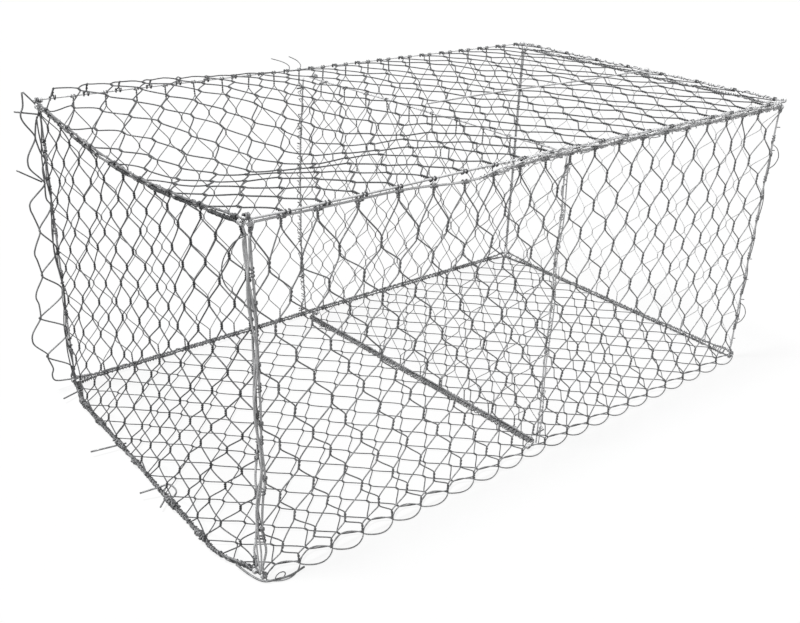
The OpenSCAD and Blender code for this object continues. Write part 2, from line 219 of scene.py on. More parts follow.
def zinc(name, dark, light, rough, grain):
    """Zinc-coated steel: spangle in the colour, dull streaks in the roughness and fine drawing bumps."""
    mat = bpy.data.materials.new(name)
    mat.use_nodes = True
    tree = mat.node_tree
    shader = tree.nodes["Principled BSDF"]
    shader.inputs["Metallic"].default_value = 0.10
    where = add_node(tree, "TexCoord")
    spangle = add_node(tree, "TexNoise", {"Scale": grain, "Detail": 4.0, "Roughness": 0.65})
    tone = add_node(tree, "ValToRGB")
    for stop, position, color in zip(tone.color_ramp.elements, (0.32, 0.70), (dark, light)):
        stop.position, stop.color = position, (*color, 1)
    streak = add_node(tree, "TexNoise", {"Scale": grain * 0.22, "Detail": 2.0})
    dull = add_node(tree, "MapRange", {"From Min": 0.3, "From Max": 0.7,
                                       "To Min": rough - 0.08, "To Max": rough + 0.12})
    fine = add_node(tree, "TexNoise", {"Scale": grain * 6, "Detail": 3.0})
    bump = add_node(tree, "Bump", {"Strength": 0.25, "Distance": 0.0003})
    for noise in (spangle, streak, fine):
        tree.links.new(where.outputs["Object"], noise.inputs["Vector"])
    for start, output, end, value in (
            (spangle, "Fac", tone, "Fac"), (tone, "Color", shader, "Base Color"),
            (streak, "Fac", dull, "Value"), (dull, "Result", shader, "Roughness"),
            (fine, "Fac", bump, "Height"), (bump, "Normal", shader, "Normal")):
        tree.links.new(start.outputs[output], end.inputs[value])
    return mat


# Front, back and diaphragm in the wire's own zinc; lid, base and left end in a much darker copy, painted shade; edge
# wires in a light copy, a painted highlight; lacing and the bottom edge wires in a darker copy, painted shade
mesh_zinc = zinc("mesh_zinc", (0.19, 0.193, 0.198), (0.44, 0.443, 0.448), 0.38, 60.0)
dull_zinc = zinc("dull_zinc", (0.035, 0.037, 0.040), (0.15, 0.153, 0.158), 0.42, 60.0)
highlit_zinc = zinc("highlit_zinc", (0.68, 0.683, 0.688), (0.94, 0.943, 0.948), 0.34, 45.0)
shaded_zinc = zinc("shaded_zinc", (0.12, 0.122, 0.126), (0.36, 0.363, 0.368), 0.42, 80.0)


# Edge wires: nearly straight, each with the small bends of a wire worked by hand

class Rod:
    """An edge wire along one axis; its bend is added to the CAD line."""

    def __init__(self, node, axis, seed, wave=0.0016, bend=None, ease=0.04, longer=0.0):
        self.axis, self.mid = axis, mid(node)
        lo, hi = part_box(node)
        self.low, self.high = lo[axis], hi[axis] + longer
        rng = np.random.default_rng(seed)
        self.shake = [ripple(rng, 4, 5.0) for _ in range(2)]
        self.wave, self.bend, self.ease = wave, bend, ease
        self.sides = [np.eye(3)[k] for k in range(3) if k != axis]

    def shift(self, s):
        """How far the wire lies off its CAD line, at a place along its axis."""
        t = (s - self.low) / (self.high - self.low)
        room = self.wave * fade(t, 0.06)
        d = sum((room * f(t, 0.0) * e for f, e in zip(self.shake, self.sides)), np.zeros(3))
        if self.bend:
            d = d + self.bend(s) * fade(t, self.ease)
        return d

    def shift_at_share(self, t):
        """The shift at a share of the wire's length."""
        return self.shift(self.low + t * (self.high - self.low))

    def at(self, s):
        """The point of the bent wire at a place along its axis."""
        p = self.mid.copy()
        p[self.axis] = s
        return p + self.shift(s)

    def path(self, low, high, step=0.012):
        return [self.at(s) for s in np.linspace(low, high, max(3, int((high - low) / step)))]


def eye(centre, axis, from_dir, turns=2.2):
    """The end of an edge wire, coiled around the wire that holds it."""
    other = np.cross(axis, from_dir)
    n = int(turns * 12)
    r = EDGE_D * 1.02
    return [centre + r * (math.sin(a) * from_dir + math.cos(a) * other) + axis * r * (k / n * turns - turns / 2)
            for k in range(n + 1) for a in [2 * math.pi * turns * k / n]]


rods = {}


def rod(node, *args, **options):
    rods[node] = Rod(node, *args, **options)


def rows_in(run, odd=1):
    """Rows of the weave in a run: an odd number of them, or an even one with odd=0."""
    return 2 * round((run / ROW_PITCH - odd) / 2) + odd


# Knots of the corner lacing, between the mesh wraps of the end panels
low_z = mid("left_end_bottom_wire")[2]
top_z = mid("left_end_top_wire")[2]
end_rows = rows_in(top_z - low_z)
knots = [low_z + (j + 0.5) * (top_z - low_z) / end_rows for j in range(1, end_rows, 2)]


def apart(first, second):
    """Distance between two wires and the way from the first to the second, across their length."""
    gap = mid(second) - mid(first)
    gap[long_axis(first)] = 0
    size = np.linalg.norm(gap)
    return size, gap / size


def together(first, second, left=0.0066):
    """Shifts that bring two laced wires up to a small distance from each other."""
    size, way = apart(first, second)
    pull = (size - left) / 2 * way
    return pull, -pull


def corner_wires(corner):
    """The edge wires of the two panels that meet in an upright corner, such as front_left."""
    face, side = corner.split("_")
    return f"{corner}_wire", f"{side}_end_{face}_wire"


def pulled(first, second, bulge, way, bow):
    """Two corner wires are drawn together at each knot and bow apart between the knots."""
    unit = apart(first, second)[1]

    def shift(s, sign):
        tied = min(1.0, sum(bell(s, k, 0.020) for k in knots))
        return sign * (unit * (0.0042 + 0.0010 * tied) + way * bulge(s)) + ACROSS_VIEW * bow(s)
    return (lambda s: shift(s, 1)), (lambda s: shift(s, -1))


def near_bulge(z):
    """How far the two wires of the near corner stand apart, which they do above the foot."""
    return 0.0002 + 0.008 * bell(z, 0.075, 0.032) + 0.005 * bell(z, 0.25, 0.045)


def near_bow(z):
    """How far the near corner is bent to the right between its ends."""
    return 0.010 * math.sin(math.pi * min(max(z / 0.8, 0.0), 1.0))


def steady(amount):
    """The same shift all along a wire."""
    return lambda s: amount


corner_bends = {}
for corner, bulge, way, bow in (("front_left", near_bulge, ACROSS_VIEW, near_bow),
                                ("front_right", steady(-0.0012), ACROSS_VIEW, steady(0.0)),
                                ("back_left", steady(0.0020), -ACROSS_VIEW, steady(0.0)),
                                ("back_right", steady(0.0020), ACROSS_VIEW, steady(0.0))):
    first, second = corner_wires(corner)
    corner_bends[first], corner_bends[second] = pulled(first, second, bulge, way, bow)


def close(x):
    """How far the lid's wires and the top wires under them are drawn to each other, most at the left."""
    return 0.0054 - 0.0034 * ramp((x + 0.35) / 0.35)


def sag(y):
    """How far the left top edge hangs down between its corners."""
    return 0.040 * math.sin(math.pi * min(max(y + 0.5, 0.0), 1.0)) ** 1.2


# The front's top wire hangs down left of the middle
rod("front_top_wire", 0, 11, 0.002,
    lambda s: Z * (close(s) - 0.011 * bell(s, -0.33, 0.12)) - Y * 0.004 * bell(s, -0.33, 0.14), 0.001)
rod("lid_front_wire", 0, 12, 0.002, lambda s: -Z * close(s), 0.001)
rod("lid_hinge_wire", 0, 13, 0.0)
pull, push = together("base_back_wire", "back_bottom_wire")
rod("base_back_wire", 0, 14, bend=steady(pull))
rod("back_bottom_wire", 0, 15, bend=steady(push))
for k, side in enumerate(("left", "right")):
    # The foot of the left end stands out, most of all towards the front
    bulge = (lambda s: -X * (0.033 - 0.016 * s)) if side == "left" else steady(X * 0.0)
    pull, push = together(f"base_{side}_wire", f"{side}_end_bottom_wire")
    rod(f"base_{side}_wire", 1, 20 + k, bend=lambda s, b=bulge, p=pull: b(s) + p, ease=0.14)
    rod(f"{side}_end_bottom_wire", 1, 26 + k, bend=lambda s, b=bulge, p=push: b(s) + p, ease=0.14)
    hang = sag if side == "left" else steady(0.0)
    drawn = close(mid(f"front_{side}_wire")[0])
    rod(f"lid_{side}_wire", 1, 22 + k, 0.002,
        lambda s, h=hang, d=drawn: -Z * (h(s) + d * ramp(0.75 - s / 2)), 0.001)
    rod(f"{side}_end_top_wire", 1, 24 + k, 0.002, lambda s, h=hang, d=drawn: Z * (d - h(s)), 0.001)
    for n, node in enumerate((f"front_{side}_wire", f"back_{side}_wire",
                              f"{side}_end_front_wire", f"{side}_end_back_wire")):
        rod(node, 2, 30 + 4 * k + n, 0.001, corner_bends[node],
            longer=drawn if node != f"back_{side}_wire" else 0.0)
# The diaphragm stands a little askew: its front to the right, its back to the left
rod("diaphragm_top_wire", 1, 40, 0.002, lambda s: -X * 0.05 * s, 0.001)
rod("diaphragm_bottom_wire", 1, 41, 0.0016, lambda s: -X * 0.06 * s, 0.001)
rod("diaphragm_front_wire", 2, 42, 0.002, lambda s: X * (0.030 - 0.006 * s), 0.001)
rod("diaphragm_back_wire", 2, 43, 0.002, lambda s: -X * (0.040 + 0.017 * math.sin(math.pi * s / 0.8)), 0.001)


# Woven sheets

def fold_foot(a):
    """Height of the knots along the fold, a from left to right: they lie low at the left."""
    return 0.004 + 0.008 * fade(min(max((a - 0.27) / 0.26, 0.0), 0.5), 0.5)


def front_lean(a, b):
    """How far the front's twists are drawn to the right, or to the left where it is below 0."""
    return (-0.030 * bell(a, 0.08, 0.10) * ramp((b - 0.75) / 0.2)
            - 0.020 * bell(a, 0.55, 0.20) * ramp((b - 0.70) / 0.25)
            - 0.030 * bell(a, 0.95, 0.06) * ramp((b - 0.55) / 0.3)
            + 0.014 * bell(a, 0.82, 0.20) * bell(b, 0.50, 0.22)
            - 0.015 * bell(a, 0.62, 0.15) * bell(b, 0.20, 0.12))


def front_slide(a, b):
    """How far the front's twists are pushed up; they lie lower at the left."""
    return -0.018 * (1 - ramp((a - 0.40) / 0.25))


def lid_relief(a, b):
    """The lid's slack: it dips behind the front edge at the left and humps behind that."""
    return (0.010 * bell(a, 0.32, 0.25) * bell(b, 0.86, 0.2)
            + 0.026 * bell(a, 0.17, 0.17) * bell(b, 0.76, 0.18)
            - 0.042 * bell(a, 0.20, 0.18) * bell(b, 0.42, 0.16))


def lid_curl(a):
    """How far the left half of the lid stands up along the hinge wire."""
    return fade(a, 0.03) * (0.027 * fade(min(max(0.5 - a, 0.0), 0.5), 0.5) + 0.005 * bell(a, 0.05, 0.10))


class Sheet:
    """A sheet with U across, V along the twists and W out of its face, between four edges.
    sides are the left and right edge wires; low and high are edge wires, or None at a fold.
    twist is the length of the twists, and lead how far the wires keep their line. bow swells the
    sheet, loose and drift shift single twists and whole areas, and tilt turns the twists. first=1
    starts with runs from the fold, lift raises the rim, to_edge is how far the last twists lie from
    the high edge, and a low hold lets the side wires draw more of the sheet along. relief, curl and
    foot push the sheet out of its plane, and lean and slide draw its twists along U and V."""

    def __init__(self, node, body, origin, u, v, w, span, run, cell, rows, seed, sides, low, high,
                 twist, wire, lead, bow=0.0, loose=0.0022, drift=0.009, lift=0.0, on_floor=False,
                 first=0, relief=None, lean=None, slide=None, tilt=0.0, hold=8, curl=None, to_edge=None,
                 foot=0.0):
        self.node, self.body = node, body
        self.origin, self.u, self.v, self.w = np.asarray(origin, float), u, v, w
        cells = round(span / cell)
        self.span, self.run, self.cells, self.rows = span, run, cells, rows
        self.sides, self.low, self.high = sides, low, high
        self.length, self.wire, self.lead = twist, wire, lead
        self.bow, self.lift, self.first = bow, lift, first
        self.relief, self.curl, self.hold, self.foot = relief, curl, hold, foot
        self.pu = span / cells
        self.grip = (EDGE_D + wire) / 2
        self.v0 = run / rows / 2 if low or first else FOLD_V + twist / 2
        self.pv = (run - (run / rows / 2 if to_edge is None else to_edge) - self.v0) / (rows - 1)
        rng = np.random.default_rng(seed)
        wide = [ripple(rng, 5, 1.6) for _ in range(3)]
        self.wide = wide[2]
        self.spot = {}
        for j in range(rows):
            for c in range((j + first) % 2, 2 * cells + 1, 2):
                a, b = c / (2 * cells), (self.v0 + j * self.pv) / run
                near, near_end = fade(a, 0.07), fade(b, 0.10)
                shake = np.clip(rng.normal(0, 1, 4), -1.8, 1.8)
                du = (loose * shake[0] + drift * wide[0](a, b)) * near * max(near_end, 0.3)
                dv = (loose * shake[1] + drift * wide[1](a, b)) * near * near_end
                dw = loose * shake[2] * near * near_end
                if lean:
                    du += lean(a, b) * near
                if slide:
                    dv += slide(a, b) * near_end
                self.spot[c, j] = (c * self.pu / 2 + du, self.v0 + j * self.pv + dv,
                                   abs(dw) if on_floor else dw, (tilt * near_end + 0.06 * shake[3]) * near)

    def place(self, u, v, w):
        """A point of the sheet in the CAD frame."""
        a = min(max(u / self.span, 0.0), 1.0)
        b = min(max(v / self.run, 0.0), 1.0)
        out = w + self.bow * math.sin(math.pi * a) * math.sin(math.pi * b)
        out += abs(self.bow) * 0.6 * self.wide(a, b) * fade(a, 0.15) * fade(b, 0.15)
        if self.relief:
            out += self.relief(a, b) * fade(a, 0.05) * fade(b, 0.05)
        if self.curl:
            out += self.curl(a) * (min(1.0, (1 - b) / 0.014) if b > 0.986 else bell(b, 0.986, 0.16))
        if self.foot:
            out += self.foot * bell(b, 0, 0.07)
        if self.lift:
            rise = max((1 - a * self.span / 0.03), (1 - (1 - a) * self.span / 0.03),
                       (1 - (1 - b) * self.run / 0.03), 0.0)
            out += self.lift * rise
        p = self.origin + u * self.u + v * self.v + out * self.w
        for node, weight, t in ((self.sides[0], (1 - a) ** self.hold, b), (self.sides[1], a ** self.hold, b),
                                (self.low, (1 - b) ** 3, a), (self.high, b ** 3, a)):
            if node and weight > 1e-4:
                p = p + weight * rods[node].shift_at_share(t)
        return p

    def twist(self, c, j, d, low_end=None, high_end=None):
        """One wire of a double twist; d is the way it crosses."""
        u0, v0, w0, lean = self.spot[c, j]
        lo, hi, half_turns = -self.length / 2, self.length / 2, 3
        if low_end is not None:
            lo, half_turns = low_end - v0, half_turns + 1
        if high_end is not None:
            hi, half_turns = high_end - v0, half_turns + 1
        if half_turns % 2 == 0:
            half_turns += 1 if hi - lo > 1.2 * self.length else -1
        r = self.wire * 0.5
        n = 3 * half_turns
        points = []
        for k in range(n + 1):
            t = k / n
            turn = (math.pi if d > 0 else 0.0) + half_turns * math.pi * t
            s = lo + (hi - lo) * t
            points.append((u0 + s * math.sin(lean) + r * math.cos(turn),
                           v0 + s * math.cos(lean), w0 + r * math.sin(turn)))
        return points

    def entry(self, c, j, d):
        """Where a wire that crosses the way d comes to a twist."""
        u, v, w = self.spot[c, j][:3]
        return u - d * self.wire * 0.5, v - self.length / 2, w

    def slant(self, here, to, seed):
        """The run from one twist to the next, which leaves and enters along the twists."""
        lead = self.lead * (to[1] - here[1])
        belly = 0.0010 * math.sin(seed)
        points = []
        for t in (0.14, 0.32, 0.5, 0.68, 0.86):
            k0, k1, k2, k3 = (1 - t) ** 3, 3 * t * (1 - t) ** 2, 3 * t * t * (1 - t), t ** 3
            points.append(((k0 + k1) * here[0] + (k2 + k3) * to[0],
                           k0 * here[1] + k1 * (here[1] + lead) + k2 * (to[1] - lead) + k3 * to[1],
                           (k0 + k1) * here[2] + (k2 + k3) * to[2] + belly * math.sin(math.pi * t)))
        return points

    def side_wrap(self, c, j):
        """A wire turned around a side edge wire, on its way back into the sheet."""
        side = 1 if c == 0 else -1
        u0, v0 = (0.0 if c == 0 else self.span), self.spot[c, j][1]
        r, n = self.grip, 20
        return [(u0 + side * r * math.cos(a), v0 + (k / n - 0.5) * 2.6 * self.wire, r * math.sin(a))
                for k in range(n + 1) for a in [math.pi / 2 + 2.5 * 2 * math.pi * k / n]]

    def end_wrap(self, u, v, way, drift):
        """A wire end turned about twice around the edge wire at an end of the sheet."""
        r, n = self.grip, 16
        return [(u + drift * self.wire * (0.5 + 1.4 * k / n), v - way * r * math.cos(a), r * math.sin(a))
                for k in range(n + 1) for a in [0.7 + 1.1 * 2 * math.pi * k / n]]

    def wires(self):
        """Paths of all wires of the sheet, from the low edge to the high one."""
        last, right = self.rows - 1, 2 * self.cells
        grip = self.grip + 0.001
        begin = [(0, 1), (right, -1)] + [(c, d) for c in range(2, right, 2) for d in (1, -1)]
        for c, d in begin:
            points = []
            if self.first:
                points.append((c * self.pu / 2 - d * self.wire * 0.5, 0.002 - FOLD_OUT, fold_foot(c / right)))
                points += self.slant(points[0], self.entry(c + d, 0, d), c)
                c += d
            elif self.low and c not in (0, right):
                points += reversed(self.end_wrap(self.spot[c, 0][0] - d * self.wire * 0.5, 0.0, -1, -d))
            for j in range(self.rows):
                if c in (0, right):
                    points += self.side_wrap(c, j)
                    d = 1 if c == 0 else -1
                else:
                    begin_at = None
                    if j == 0 and not self.first:
                        begin_at = grip if self.low else fold_foot(c / right) - self.wire
                    points += self.twist(c, j, d, begin_at, self.run - grip if j == last and self.high else None)
                if j < last:
                    points += self.slant(points[-1], self.entry(c + d, j + 1, d), 7.1 * c + 3.7 * j)
                    c += d
                elif self.high and c not in (0, right):
                    points += self.end_wrap(points[-1][0], self.run, 1, d)
            yield [self.place(*p) for p in points]


class SkewSheet(Sheet):
    """A sheet cut askew out of the weave. Each wire ends at the edges that it meets."""

    def recut(self, cell, pitch, fall, seed, loose=0.0022, drift=0.009):
        """New twists, a cell apart along U and a pitch along V, in rows that fall along U."""
        rng = np.random.default_rng(seed)
        wide = [ripple(rng, 5, 1.6) for _ in range(2)]
        self.columns = range(-3, int(2 * self.span / cell) + 4)
        self.levels = range(-3, int((self.run + fall * self.span) / pitch) + 4)
        self.spot = {}
        for j in self.levels:
            for c in self.columns:
                if (c + j) % 2 == 0:
                    shake = np.clip(rng.normal(0, 1, 4), -1.8, 1.8)
                    u, v = c * cell / 2, (j + 0.3) * pitch - fall * c * cell / 2
                    a, b = u / self.span, v / self.run
                    self.spot[c, j] = (u + loose * shake[0] + drift * wide[0](a, b),
                                       v + loose * shake[1] + drift * wide[1](a, b),
                                       loose * shake[2], 0.06 * shake[3])

    def border(self, inner, outer):
        """Where the run from a point within the edges to one past them meets an edge."""
        t = 1.0
        for p, q, limit in zip(inner, outer, (self.span, self.run)):
            if q < 0:
                t = min(t, p / (p - q))
            if q > limit:
                t = min(t, (limit - p) / (q - p))
        return tuple(p + (q - p) * t for p, q in zip(inner, outer))

    def hook(self, end):
        """A wire end turned around the edge wire that it meets."""
        r = self.grip
        u, v = end[:2]
        points = []
        for k in range(13):
            turn, step = 0.5 + 1.1 * 2 * math.pi * k / 12, self.wire * (0.5 + 1.4 * k / 12)
            if min(u, self.span - u) < min(v, self.run - v):
                du, dv = (r if u < self.span / 2 else -r) * math.cos(turn), step
            else:
                du, dv = step, (r if v < self.run / 2 else -r) * math.cos(turn)
            points.append((u + du, v + dv, r * math.sin(turn)))
        return points

    def cut(self, points):
        """The parts of a path that lie within the edges."""
        def within(p):
            return 0 <= p[0] <= self.span and 0 <= p[1] <= self.run

        part = []
        for p, q in zip(points, points[1:]):
            if within(p) != within(q):
                part = part + [self.border(p, q)] if within(p) else [self.border(q, p), q]
                if within(p):
                    yield part
            elif within(q):
                part.append(q)

    def wires(self):
        """Paths of all wires of the sheet, each between two edges."""
        reach = len(self.levels) + len(self.columns)
        for d in (1, -1):
            for start in range(-2 * (reach // 2), reach, 2):
                points = []
                for j in self.levels:
                    c = start + d * j
                    if c in self.columns:
                        if points:
                            points += self.slant(points[-1], self.entry(c, j, d), 7.1 * c + 3.7 * j)
                        points += self.twist(c, j, d)
                for part in self.cut(points):
                    if math.dist(part[0], part[-1]) > 0.008:
                        yield [self.place(*p) for p in self.hook(part[0])[::-1] + part + self.hook(part[-1])]


long_left, long_right = mid("front_left_wire")[0], mid("front_right_wire")[0]
long_span = long_right - long_left
front_y, front_z = mid("front_top_wire")[1:]
back_y, back_low = mid("back_bottom_wire")[1:]
base_back, base_rim = mid("base_back_wire")[1:]
lid_left, lid_right = mid("lid_left_wire")[0], mid("lid_right_wire")[0]
lid_z = mid("lid_hinge_wire")[2]
base_z = FOLD_Z * 1.05
end_front, end_back = mid("left_end_front_wire")[1], mid("left_end_back_wire")[1]
diaphragm_x = mid("diaphragm_top_wire")[0]
diaphragm_front, diaphragm_back = mid("diaphragm_front_wire")[1], mid("diaphragm_back_wire")[1]
diaphragm_low = mid("diaphragm_bottom_wire")[2]

front_run = front_z - FOLD_Z
sheets = {
    "front": Sheet("front_mesh", "basket", (long_left, front_y, FOLD_Z), X, Z, -Y,
                   long_span, front_run, CELL, rows_in(front_run), 101,
                   ("front_left_wire", "front_right_wire"), None, "front_top_wire",
                   twist=0.025, wire=0.0032, lead=0.12, bow=0.010, loose=0.0018, drift=0.006, tilt=0.10,
                   to_edge=0.007, foot=FOLD_OUT, lean=front_lean, slide=front_slide),
    "back": Sheet("back_mesh", "basket", (long_left, back_y, back_low), X, Z, Y,
                  long_span, lid_z - back_low, CELL, rows_in(lid_z - back_low), 102,
                  ("back_left_wire", "back_right_wire"), "back_bottom_wire", "lid_hinge_wire",
                  twist=0.011, wire=0.0025, lead=0.1, bow=-0.008),
    "base": Sheet("base_mesh", "basket", (long_left, front_y, base_z), X, Y, Z,
                  long_span, base_back - front_y, CELL, rows_in(base_back - front_y, 0) + 4, 103,
                  ("base_left_wire", "base_right_wire"), None, "base_back_wire",
                  twist=0.010, wire=0.0027, lead=0.1, loose=0.0010, drift=0.004,
                  lift=base_rim - base_z, on_floor=True, first=1),
    "lid": Sheet("lid_mesh", "lid", (lid_left, front_y, lid_z), X, Y, Z,
                 lid_right - lid_left, back_y - front_y, CELL, rows_in(back_y - front_y, 0), 104,
                 ("lid_left_wire", "lid_right_wire"), "lid_front_wire", "lid_hinge_wire",
                 twist=0.018, wire=0.0032, lead=0.1, bow=0.002, hold=3, to_edge=0.007,
                 relief=lid_relief, curl=lid_curl),
    "diaphragm": Sheet("diaphragm_mesh", "basket", (diaphragm_x, diaphragm_front, diaphragm_low), Y, Z, X,
                       diaphragm_back - diaphragm_front, top_z - diaphragm_low, END_CELL,
                       rows_in(top_z - diaphragm_low), 105,
                       ("diaphragm_front_wire", "diaphragm_back_wire"),
                       "diaphragm_bottom_wire", "diaphragm_top_wire",
                       twist=0.014, wire=0.0020, lead=0.15, bow=0.012),
}
for k, (side, out, weave, look) in enumerate((
        ("left", -X, SkewSheet, dict(twist=0.014, wire=0.0031, lead=0.06)),
        ("right", X, Sheet, dict(twist=0.014, wire=0.0019, lead=0.15, to_edge=0.007)))):
    end_x = mid(f"{side}_end_top_wire")[0]
    sheets[side] = weave(
        f"{side}_end_mesh", "basket", (end_x, end_front, low_z), Y, Z, out,
        end_back - end_front, top_z - low_z, END_CELL, end_rows, 106 + k,
        (f"{side}_end_front_wire", f"{side}_end_back_wire"),
        f"{side}_end_bottom_wire", f"{side}_end_top_wire", bow=-0.010, **look)
# The left end hangs askew: its rows fall towards the back
sheets["left"].recut(0.098, 0.046, 0.37, 108)


def fold_loops(sheet):
    """Two wires that lie along the fold in loops from knot to knot, one in front and one behind."""
    for k, (belly, z) in enumerate(((0.0045, 0.0), (-0.022, 0.0030))):
        path = []
        for i in range(12 * sheet.cells + 1):
            t = i / 12
            low = math.sin(math.pi * (t % 1)) ** 0.8
            drop = fold_foot(t / sheet.cells) - 0.003
            out = belly if k else belly + 0.6 * drop + 0.018 * (1 - ramp((t / sheet.cells - 0.10) / 0.45))
            path.append(sheet.place(t * sheet.pu, 0.0, 0.0) * LEVEL - Y * (0.002 + out * low)
                        + Z * (sheet.wire + z + drop * (1 - low) * (1 - 0.35 * k) + 0.005 * low * k))
        yield path


def cut_cells(sheet):
    """Cut cells past the left corner: two wires that meet in knots and part again, one of them
    held by the corner's edge wire and the other hanging free."""
    rng = np.random.default_rng(200)
    reaches = (0.060, 0.098, 0.076, 0.063, 0.056, 0.047, 0.048)
    meets = (0.010, 0.062, 0.068, 0.050, 0.040, 0.012, 0.020, 0.040)
    held, free = [], []
    for i, out in enumerate(reaches):
        v = sheet.v0 + 2 * i * sheet.pv
        aside = Y * rng.uniform(-0.008, 0.004)
        for dv, inner, outer in ((-sheet.pv + 0.007, meets[i] - 0.001, meets[i] + 0.002),
                                 (-0.020, 0.012, out - 0.005), (0.0, 0.003, out), (0.020, 0.012, out - 0.005),
                                 (sheet.pv - 0.007, meets[i + 1] - 0.001, meets[i + 1] + 0.002)):
            for path, reach in ((held, inner), (free, outer)):
                path.append(sheet.place(0, max(v + dv, 0.0), 0) - X * reach + aside * min(reach / 0.05, 1.0))
    return bowed(held, 5), bowed(free, 5)


# The lid, left end and base take the much darker copy of the zinc, painted shade; the right end takes the light
# copy, a painted highlight; the other sheets keep the wire's own zinc
sheet_shading = {"lid": dull_zinc, "left": dull_zinc, "base": dull_zinc, "right": highlit_zinc}
for name, sheet in sheets.items():
    wires = Wires(f"{name}_woven_wires", sheet.body, "mesh_wire", sheet.node)
    for path in sheet.wires():
        wires.add(path, sheet.wire)
    if name == "front":
        for path in fold_loops(sheet):
            wires.add(path, sheet.wire)
    if name == "back":
        for path in cut_cells(sheet):
            wires.add(path, LOOP_D)
    wires.build(sheet_shading.get(name, mesh_zinc))


# Edge wires with coiled ends

def edge_piece(node, low_eye=None, high_eye=None, d=EDGE_D, shading=highlit_zinc, body="basket", aside=0.0):
    """An edge wire. low_eye and high_eye are the axes of the eyes at its ends, where it has any. By default it takes
    the light copy of the zinc, a painted highlight.
    """
    r = rods[node]
    along = np.eye(3)[r.axis]
    wires = Wires(node + "_bent", body, "edge_wire", node)
    inset = EDGE_D * 1.6
    low = r.low + (inset if low_eye is not None else 0)
    high = r.high - (inset if high_eye is not None else 0)
    wires.add(r.path(low, high), d, THICK_SIDES)
    for axis, s, way in ((low_eye, r.low, 1), (high_eye, r.high, -1)):
        if axis is not None:
            centre = r.at(s) + along * way * EDGE_D * 1.55 + axis * aside
            wires.add(eye(centre, axis, along * way), EDGE_D, THICK_SIDES)
    wires.build(shading)


# The bottom edge wires take a darker copy of the zinc: painted shade
edge_piece("base_back_wire", shading=shaded_zinc)
edge_piece("back_bottom_wire", shading=shaded_zinc)
edge_piece("lid_hinge_wire", d=HINGE_D)
edge_piece("front_top_wire", d=THICK_D)
edge_piece("lid_front_wire", d=THICK_D, body="lid")
edge_piece("diaphragm_top_wire")
edge_piece("diaphragm_bottom_wire", shading=shaded_zinc)
edge_piece("diaphragm_front_wire", Y, Y, UPRIGHT_D)
edge_piece("diaphragm_back_wire", Y, Y)
for side in ("left", "right"):
    # The tops take a darker copy of the zinc at the left, painted shade, and the light copy at the right, a painted
    # highlight
    upright_d, top_shading = (THICK_D, shaded_zinc) if side == "left" else (EDGE_D, highlit_zinc)
    # The lid's eyes sit inside those of the back panel on the hinge wire, and turn clear of them
    edge_piece(f"lid_{side}_wire", X, X, shading=top_shading, body="lid", aside=0.004 if side == "left" else -0.004)
    edge_piece(f"base_{side}_wire", None, X, shading=shaded_zinc)
    edge_piece(f"front_{side}_wire", Y, X, upright_d)
    edge_piece(f"back_{side}_wire", X, X)
    edge_piece(f"{side}_end_top_wire", shading=top_shading)
    edge_piece(f"{side}_end_bottom_wire", shading=shaded_zinc)
    edge_piece(f"{side}_end_front_wire", Y, Y, upright_d)
    edge_piece(f"{side}_end_back_wire", Y, Y)

# The lid's brace: a straight wire laid on the mesh and hooked on the right edge wire
brace = Wires("lid_brace_bent", "lid", "edge_wire", "lid_brace_wire")
brace_lo, brace_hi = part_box("lid_brace_wire")
brace_y, brace_z = mid("lid_brace_wire")[1], brace_hi[2] - 0.0042
brace.add([(x, brace_y + 0.002 * math.sin(9 * x), brace_z + 0.002 * math.sin(5 * x + 1))
           for x in np.linspace(brace_lo[0], lid_right - 0.004, 60)], EDGE_D, THICK_SIDES)
brace.add(eye(np.array([lid_right, brace_y, lid_z]), Y, -X), EDGE_D, THICK_SIDES)
# The brace takes the light copy of the zinc: a painted highlight
brace.build(highlit_zinc)


# Lacing

def loop_point(first, second, axis, turn, d=LACE_D, grip=EDGE_D / 2):
    """A point of a lacing turn around two wires that run along an axis."""
    across = (second - first) / np.linalg.norm(second - first)
    up = np.cross(axis, across)
    r = grip + d / 2 + 0.0002
    centre = second if math.cos(turn) >= 0 else first
    return centre + r * (math.cos(turn) * across + math.sin(turn) * up)


def spiral(wires, first, second, axis, low, high, pitch, seed, d=LACE_D, wild=0.25, grip=EDGE_D / 2):
    """A lacing wire wound on around two edge wires, with uneven turns."""
    rng = np.random.default_rng(seed)
    uneven, loose = ripple(rng, 6, 14.0), ripple(rng, 6, 30.0)
    turns = (high - low) / pitch
    n = int(turns * 12)
    points = []
    for k in range(n + 1):
        t = k / n
        s = low + (high - low) * t
        turn = 2 * math.pi * turns * (t + wild * pitch / (high - low) * 3 * uneven(t, 0.3))
        room = grip + 0.0015 * max(0.0, loose(t, 0.7))
        points.append(loop_point(first(s), second(s), axis, turn, d, room))
    wires.add(points, d)


def coil(wires, centre, axis, low, high, pitch, seed, d=LACE_D, wild=0.6, grip=EDGE_D / 2):
    """A wire wound around a single edge wire."""
    beside = np.cross(axis, Z) * 0.0005
    spiral(wires, centre, lambda s: centre(s) + beside, axis, low, high, pitch, seed, d, wild, grip)


def lacing_piece(node):
    return Wires(node + "_wires", "basket", "lacing_wire", node)


